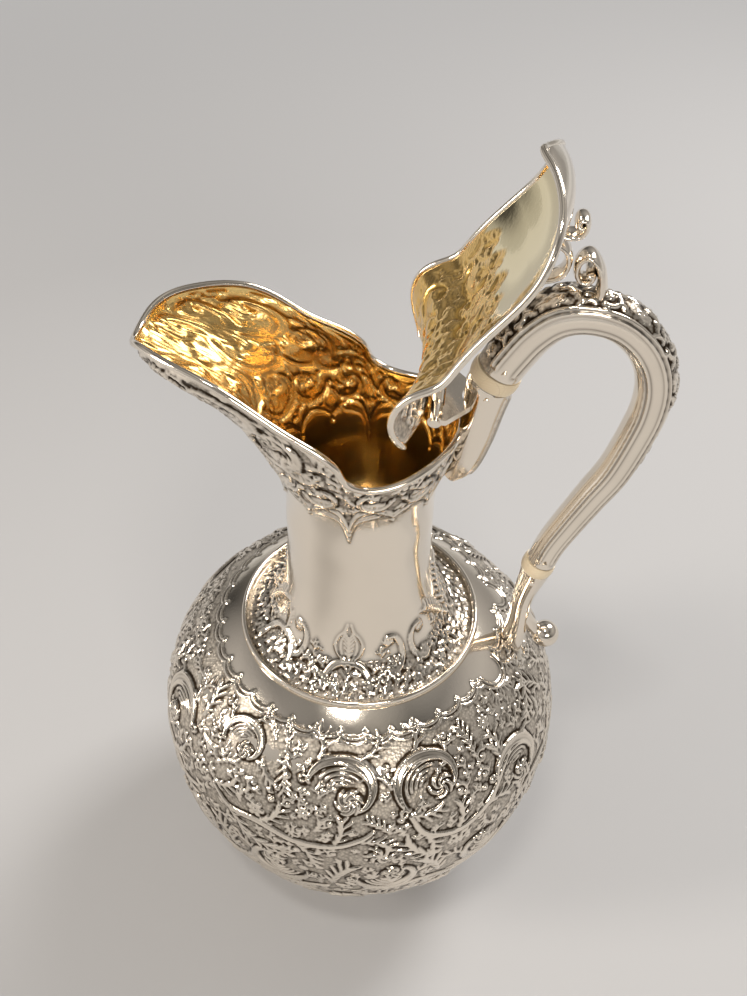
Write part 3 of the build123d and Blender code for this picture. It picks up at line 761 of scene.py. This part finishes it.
# The closed lid from its nose to its hinge: X, the edge's height over the shoulder, half
# the width, and how far its middle is arched above the edge.
lid_rows = smooth_line(
    [(-54.3, 117.3, 1.6, 0.2), (-53.4, 119.2, 5.6, 0.8), (-51.2, 121.6, 12, 1.8),
     (-47.5, 122.8, 18.3, 2.8), (-43, 122.5, 23, 3.4), (-35, 120.2, 27, 3.8), (-27, 115.6, 28.8, 4),
     (-18.7, 110, 29.6, 4.2), (-10, 105, 30.5, 4.6), (-4, 101.4, 31.2, 5), (-0.8, 96.8, 31.5, 5.4),
     (3.5, 92.4, 31.9, 5.8), (8.5, 90.8, 31.9, 6), (14, 91.4, 30.9, 5.6), (19, 93.6, 28.6, 5.2),
     (22.3, 95, 26, 5)], 0.5
)
lid_u = np.concatenate([[0], np.cumsum(np.linalg.norm(np.diff(lid_rows[:, :2], axis=0), axis=1))])


def lid_point(share, u):
    """A place on the middle of the open lid's sheet, across it and along it from its nose."""
    x, edge, half, rise = (np.interp(u, lid_u, lid_rows[:, i]) for i in range(4))
    a = 2 * share - 1
    z = shoulder_z + edge + rise * (1 - np.abs(a) ** 2.13)
    dx, dz = x - hinge_x, z - hinge_z
    return np.stack([
        hinge_x + dx * np.cos(opened) + dz * np.sin(opened), a * (half - 0.5),
        hinge_z - dx * np.sin(opened) + dz * np.cos(opened)], -1)


def lid_width(u):
    return 2 * np.interp(u, lid_u, lid_rows[:, 2])


# Only the end towards the hinge is chased, as far as a line of arches.
lid_work = Chasing(lid_u[-1], lid_width, columns=200, closed=False, up=-1)
for across, u, size, hand in (
    (-14, 52, 7.0, 1), (-17, 68, 6.5, -1), (-7, 72, 5.5, 1), (-5, 58, 4.0, -1),
):
    lid_work.at(0.5 + across / lid_width(u), u)
    great_scroll(lid_work, size, 90 + 100 * hand, hand, 235, 5, height=1.2, leaves=3)
fill(lid_work, (3.6, 2.6, 1.8), 160, 44, lid_u[-1] - 5, left=0.1, right=0.47)
lid_work.at(0.5, 47)
for middle in (-17, -6):
    arch = [(middle + x, y) for x, y in ((-5.5, 0), (-3.6, 3.6), (0, 5.2), (3.6, 3.6), (5.5, 0))]
    ribbon(lid_work, arch, 0.9, 1.0, 0.5, 0.5)
leaf(lid_work, 0, -2, 90, 15, 3.2, bend=0)
lid_work.mirrored()
lid_along = np.arange(lid_work.rows)[:, None] * lid_work.step
lid_columns = np.arange(lid_work.columns) / (lid_work.columns - 1)
lid_across = (lid_columns[None, :] - 0.5) * lid_work.width[:, None]
lid_plain_to = 46 - 5.5 * np.abs(np.cos(np.pi * lid_across / 11))
lid_plain = np.clip((lid_plain_to - lid_along) / 1.2, 0, 1)
lid_work.finish(lid_plain + np.clip((lid_along - lid_u[-1] + 4) / 2, 0, 1))
for name, side, material, slot, cad in (
    ("lid_top", 0.55, chased_silver, "silver", ("lid_shell",)),
    ("lid_lining", -0.55, lid_gold, "gilding", ()),
):
    skin = piece(name, sheet(190, 130), material, body="lid", cad=cad)
    share, up = places(skin)
    u = (1 - up) * lid_u[-1]
    share = 0.5 + 0.5 * np.sin(np.pi * (share - 0.5)) * 0.9 + 0.1 * (share - 0.5)
    along = lid_point(share, u + 0.05) - lid_point(share, u - 0.05)
    across = lid_point(share + 0.001, u) - lid_point(share - 0.001, u)
    out = np.cross(across, along)
    out /= np.linalg.norm(out, axis=1)[:, None]
    out *= np.sign(out[:, :1])
    from_side, from_end = np.minimum(share, 1 - share) * 40, np.minimum(u, lid_u[-1] - u) / 0.8
    ends = np.clip(np.minimum(from_side, from_end), 0, 1)
    height = lid_work.read(lid_work.height, share, u) * 0.8
    where = lid_point(share, u) + out * (side * ends + height)[:, None]
    shade = lid_work.read(lid_work.shade, share, u)
    if side < 0:
        shade = 0.42 * (1 - lid_work.read(lid_plain, share, u)) + np.clip(height * 0.3, 0, 1)
    ground = lid_work.read(lid_work.ground, share, u) * (1 if side > 0 else 0.3)
    settle(skin, where, shade=shade, ground=ground)

    def face_away(work):
        """Turns the top's faces towards +X and the lining's towards -X."""
        work.faces.ensure_lookup_table()
        middle_face = work.faces[len(work.faces) // 2]
        middle_face.normal_update()
        if (middle_face.normal.x > 0) != (side > 0):
            bmesh.ops.reverse_faces(work, faces=work.faces[:])

    edit(skin, face_away)

# --- Handle --------------------------------------------------------------------------
# The handle is cast and bent, with reeded edges and a chased band down its back. Its
# sockets, volute and scrolls are cast too, and soldered to the lid, neck and body.


def tube(name, stations, material=silver, *, rows, columns=36, body="jug", cad=(), work=None):
    """A rod along stations in the XZ plane: x, z, half thickness and half width in mm."""
    line = smooth_line(stations, 0.25)
    length = np.concatenate([[0], np.cumsum(np.linalg.norm(np.diff(line[:, :2], axis=0), axis=1))])
    rod = piece(name, sheet(rows, columns), material, body=body, cad=cad)
    share, up = places(rod)
    turn, s = share * 2 * np.pi, up * length[-1]
    x, z, thick, wide = (np.interp(s, length, line[:, i]) for i in range(4))
    along_x, along_z = (np.interp(s, length, np.gradient(line[:, i], length)) for i in (0, 1))
    size = np.hypot(along_x, along_z)
    out_x, out_z = -along_z / size, along_x / size
    shade = ground = 0 * s
    if work is not None:
        lift = work.read(work.height, share, s)
        thick, wide = thick + lift, wide + lift
        shade, ground = work.read(work.shade, share, s), work.read(work.ground, share, s)
    thick, wide = np.maximum(thick, 0), np.maximum(wide, 0)
    thick = thick * np.cos(turn)
    where = np.stack([x + out_x * thick, wide * np.sin(turn), z + out_z * thick], 1)
    settle(rod, where, shade=shade, ground=ground)
    edit(rod, lambda work: bmesh.ops.recalc_face_normals(work, faces=work.faces[:]))
    return rod


# X, Z and radius along the handle, from its upper end.
bow = [
    (43.2, 255.6, 7.2), (47.9, 263.2, 7.2), (53.8, 268.6, 7.15), (61.2, 270, 6.7),
    (69.4, 268.1, 6.3), (75.9, 263.4, 6.1), (80.5, 257, 6.0), (83, 249.6, 5.95),
    (83.5, 241.5, 5.9), (82.3, 232.5, 5.85), (78.1, 216, 5.7), (72.9, 203.8, 5.5),
    (67.8, 191.6, 5.3), (63.8, 181.2, 5.2),
]

# It starts and ends on the faces of the two insulators.
half_disc = 2.6
upper_face = (38.95 + 0.39 * half_disc, 246.8 + 0.92 * half_disc)
lower_face = (60.5 + 0.30 * half_disc, 169.2 + 0.95 * half_disc)
bow = [(*upper_face, 7.1)] + bow + [(*lower_face, 5.2)]
bow_middle = smooth_line([(x, z) for x, z, _ in bow], 0.3)
bow_length = float(np.linalg.norm(np.diff(bow_middle, axis=0), axis=1).sum())
handle_radius = 6.2
handle_work = Chasing(bow_length, lambda s: 2 * np.pi * handle_radius, columns=240, up=-1)
for angle, size, lift in ((52, 0.55, 0.75), (64, 0.45, 0.55), (112, 0.5, 0.6), (124, 0.4, 0.45)):
    for side in (-1, 1):
        handle_work.at(side * angle / 360, 0)
        handle_work.ridge([(0, -3), (0, -bow_length + 3)], size, size, lift)
for i in range(7):
    handle_work.at(0, 7 + 9.6 * i)
    hand = 1 if i % 2 else -1
    curl(handle_work, -1.6 * hand, 0, 4.4, 90 + 60 * hand, hand, height=1.0)
    curl(handle_work, 2.2 * hand, -4.6, 3.2, -60 * hand, -hand, height=0.9)
    flower(handle_work, 2.6 * hand, 1.5, 2.2, height=0.8)
fill(handle_work, (1.9, 1.3), 120, 4, 72, left=-0.11, right=0.11)
leaf(handle_work, 0, -70, -90, 16, 3.6, bend=0)
handle_share = np.arange(handle_work.columns)[None, :] / handle_work.columns
handle_round = np.abs((handle_share + 0.5) % 1 - 0.5) * 360
handle_along = np.arange(handle_work.rows)[:, None] * handle_work.step
handle_work.finish(np.zeros((handle_work.rows, 1)))
on_back = np.clip((50 - handle_round) / 4, 0, 1)
handle_work.ground *= on_back * np.clip((74 - handle_along) / 3, 0, 1)
tube(
    "handle_chasing", [(x, z, r - 0.25, r - 0.25) for x, z, r in bow], chased_silver,
    rows=300, columns=96, cad=("handle",), work=handle_work,
)
tube(
    "volute",
    [(62.8, 274, 2.2, 3.4), (63.5, 277, 1.7, 3.6), (62.4, 283, 1.3, 3.7), (59.6, 286.8, 1.15, 3.6),
     (57, 285.7, 1.05, 3.4), (56.3, 282.6, 1, 3.3), (57.4, 280.2, 0.95, 3.3), (59.6, 279.8, 1, 3.4),
     (60.5, 281.4, 1.15, 3.7), (59.5, 282.2, 1.2, 3.9), (59, 281.5, 0, 3.9)],
    rows=140, cad=("handle_volute",),
)
tube(
    "thumb_scroll",
    [(49.3, 292.4, 0, 0), (49.5, 292.5, 1, 3.2), (50.5, 292.8, 1.1, 3.4), (53.2, 292.2, 1.1, 3.4),
     (55.9, 292.9, 1.1, 3.4), (57, 294.9, 1, 3.4), (56.6, 296.9, 1, 3.4), (55.2, 297, 1, 3.5),
     (54.8, 295.8, 1.1, 3.7), (55.8, 295.3, 1.2, 3.9), (56.2, 296, 0, 3.9)],
    rows=120, body="lid", cad=("lid_scroll",),
)
tube(
    "lid_bracket_scroll",
    [(48.4, 290.1, 0, 0), (48.6, 290.1, 1.1, 3.2), (50.5, 290, 1.1, 3.4), (53.1, 288, 1.1, 3.4),
     (53.9, 284.6, 1.1, 3.4), (52.6, 281.2, 1.1, 3.4), (49, 279.5, 1.1, 3.4), (44, 279.3, 1.1, 3.3),
     (40.9, 279.4, 1.2, 3.2), (40.7, 279.4, 0, 0)],
    rows=120, body="lid", cad=("lid_loop",),
)

# The upper socket is plain, with two thin ribs down its back.
socket_line = [
    (28.6, 206, 2.4, 2.4), (32, 212, 4.4, 4.4), (34.2, 223, 5.8, 5.8), (36.1, 235, 6.4, 6.4),
    (37.6, 243.4, 6.9, 6.9), (38.05, 244.6, 6.6, 6.6),
]
socket_length, socket_radius = 41, 5.8
socket_work = Chasing(socket_length, lambda s: 2 * np.pi * socket_radius, columns=240)
for side in (-1, 1):
    for turn, height in ((0.045, 0.6), (0.1, 0.45)):
        socket_work.at(0.5 + side * turn, 6)
        socket_work.ridge([(0, 0), (0, 31)], 0.4, 0.5, height)
socket_work.finish(np.zeros((socket_work.rows, 1)))
socket_work.ground *= 0
upper = tube(
    "socket_chasing", socket_line, chased_silver, rows=100, columns=80,
    cad=("upper_socket",), work=socket_work,
)

# Where it meets the neck it stays on the neck's outside.
flat = np.empty(3 * len(upper.data.vertices))
upper.data.vertices.foreach_get("co", flat)
at = flat.reshape(-1, 3) * 1000
level = at[:, 2] - shoulder_z
back, half = (np.interp(level, neck_rows[:, 0], neck_rows[:, i]) for i in (1, 2))
sunk = 0.5
neck_x = back * np.sqrt(np.clip(1 - (at[:, 1] / half) ** 2, 0, 1)) - sunk
at[:, 0] = np.maximum(at[:, 0], neck_x)
upper.data.vertices.foreach_set("co", (at * 0.001).ravel())

# --- CAD pieces that stay ------------------------------------------------------------
# The shell, foot, wires, hinge, lower socket, ball and pins are shown as they are built,
# in plain polished silver. The insulators are ivory, with a grain and hairline cracks.

tree, shader, ivory = new_material("ivory")
where = node(tree, "ShaderNodeTexCoord", out="Object")
grain = node(tree, "ShaderNodeTexNoise", values={"Vector": where, "Scale": 160.0, "Detail": 5.0})
growth = node(tree, "ShaderNodeTexWave", {"bands_direction": "Z"},
             {"Vector": where, "Scale": 420.0, "Distortion": 6.0, "Detail": 2.0})
cracks = node(
    tree, "ShaderNodeTexVoronoi", {"feature": "DISTANCE_TO_EDGE"}, {"Vector": where, "Scale": 210.0}
)
crack = limited(1 - cracks * 55)
cream = blend(grain, (0.86, 0.70, 0.47), (0.95, 0.83, 0.62))
cream = blend(growth * 0.16, cream, (0.72, 0.52, 0.30))
stained = blend(crack * grain * 0.4, cream, (0.42, 0.26, 0.12))
tree.links.new(stained.socket, shader.inputs["Base Color"])
tree.links.new((grain * 0.15 + 0.25).socket, shader.inputs["Roughness"])
bump = node(
    tree, "ShaderNodeBump", values={"Height": 1 - crack, "Strength": 0.3, "Distance": 0.0001}
)
tree.links.new(bump.socket, shader.inputs["Normal"])

for name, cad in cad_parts.items():
    cad.data.materials.clear()
    cad.data.materials.append(ivory if "insulator" in name else silver)

# --- Floor, light and camera ---------------------------------------------------------
# A plain pale table under soft lamps. Far from the jug it glows to the eye and in
# reflections only, so that it stays pale as far as it goes.

floor_size = 12
made = bmesh.new()
bmesh.ops.create_grid(made, x_segments=1, y_segments=1, size=floor_size)
floor_mesh = bpy.data.meshes.new("floor")
made.to_mesh(floor_mesh)
made.free()
floor = bpy.data.objects.new("floor", floor_mesh)
bpy.context.collection.objects.link(floor)
tree, shader, paper = new_material("pale table")
where = node(tree, "ShaderNodeTexCoord", out="Object")
distance = node(tree, "ShaderNodeVectorMath", {"operation": "LENGTH"}, {0: where}, out="Value")
ray = tree.nodes.new("ShaderNodeLightPath")
seen = [Wire(tree, ray.outputs[f"Is {kind} Ray"]) for kind in ("Camera", "Glossy", "Transmission")]
far = limited(distance * 0.6 - 0.3) * limited(seen[0] + seen[1] + seen[2])
tree.links.new(blend(far, (0, 0, 0), (0.46, 0.455, 0.45)).socket, shader.inputs["Emission Color"])
shader.inputs["Emission Strength"].default_value = 1
shader.inputs["Base Color"].default_value = (0.52, 0.52, 0.53, 1)
shader.inputs["Roughness"].default_value = 0.85
floor_mesh.materials.append(paper)


def lamp(name, at, size, power, colour):
    light = bpy.data.lights.new(name, "AREA")
    light.shape, light.energy, light.color = "RECTANGLE", power, colour
    light.size, light.size_y = size
    made = bpy.data.objects.new(name, light)
    made.location = at
    made.rotation_euler = (Vector((0, 0, 0.15)) - Vector(at)).to_track_quat("-Z", "Y").to_euler()
    bpy.context.collection.objects.link(made)


lamp("window lamp", (0.55, 0.55, 0.95), (0.36, 0.5), 8.5, (1, 0.97, 0.93))
lamp("left lamp", (-0.95, -0.35, 0.6), (0.22, 0.6), 5.5, (1, 0.92, 0.82))
lamp("ceiling lamp", (-0.1, -0.4, 1.35), (0.2, 0.09), 3.2, (1, 0.95, 0.88))
lamp("front lamp", (0.35, -1.0, 0.75), (0.4, 0.2), 4.5, (1, 0.93, 0.84))

# A plain room to be mirrored: dark and pale bands, and a haze along the horizon.
world = bpy.data.worlds.new("room")
world.use_nodes = True
bpy.context.scene.world = world
tree = world.node_tree
sky = node(tree, "ShaderNodeTexCoord", out="Generated")
height = node(tree, "ShaderNodeSeparateXYZ", values={0: sky}, out="Z")
east = node(tree, "ShaderNodeSeparateXYZ", values={0: sky}, out="X")
north = node(tree, "ShaderNodeSeparateXYZ", values={0: sky}, out="Y")
room = node(
    tree, "ShaderNodeValToRGB",
    {"stops": [(0.45, (0.03, 0.028, 0.025)), (0.62, (0.07, 0.065, 0.06)),
               (0.78, (0.42, 0.40, 0.38)), (0.9, (0.12, 0.115, 0.11)), (1.0, (0.6, 0.58, 0.55))]},
    {0: height * 0.5 + 0.5},
)
walls = node(
    tree, "ShaderNodeValToRGB",
    {"stops": [(0.0, (0.9, 0.88, 0.85)), (0.2, (0.5, 0.48, 0.46)), (0.32, (0.04, 0.04, 0.04)),
               (0.5, (0.35, 0.33, 0.3)), (0.62, (0.05, 0.05, 0.05)), (0.85, (0.6, 0.58, 0.56))]},
    {0: east * 0.42 + north * 0.22 + 0.5},
)
room = node(tree, "ShaderNodeMix", {"data_type": "RGBA"}, {0: 0.5, 6: room, 7: walls}, out=2)
room = blend(limited(1 - height * height * 60), room, (0.5, 0.49, 0.47))
tree.links.new(room.socket, tree.nodes["Background"].inputs["Color"])
tree.nodes["Background"].inputs["Strength"].default_value = 0.95

# The camera stands at a place in metres, and view holds its right, up and back.
eye = bpy.data.cameras.new("camera")
eye.lens, eye.sensor_width, eye.sensor_fit, eye.clip_start = 36.14, 36, "AUTO", 0.01
camera = bpy.data.objects.new("camera", eye)
view = ((0.99231, 0.12344, 0.00903), (-0.09302, 0.69564, 0.71235), (0.08165, -0.70771, 0.70177))
turned = Matrix(view).transposed().to_4x4()
camera.matrix_world = Matrix.Translation((0.03095, -0.22954, 0.42033)) @ turned
bpy.context.collection.objects.link(camera)
bpy.context.scene.camera = camera
bpy.context.scene.view_settings.view_transform = "Standard"
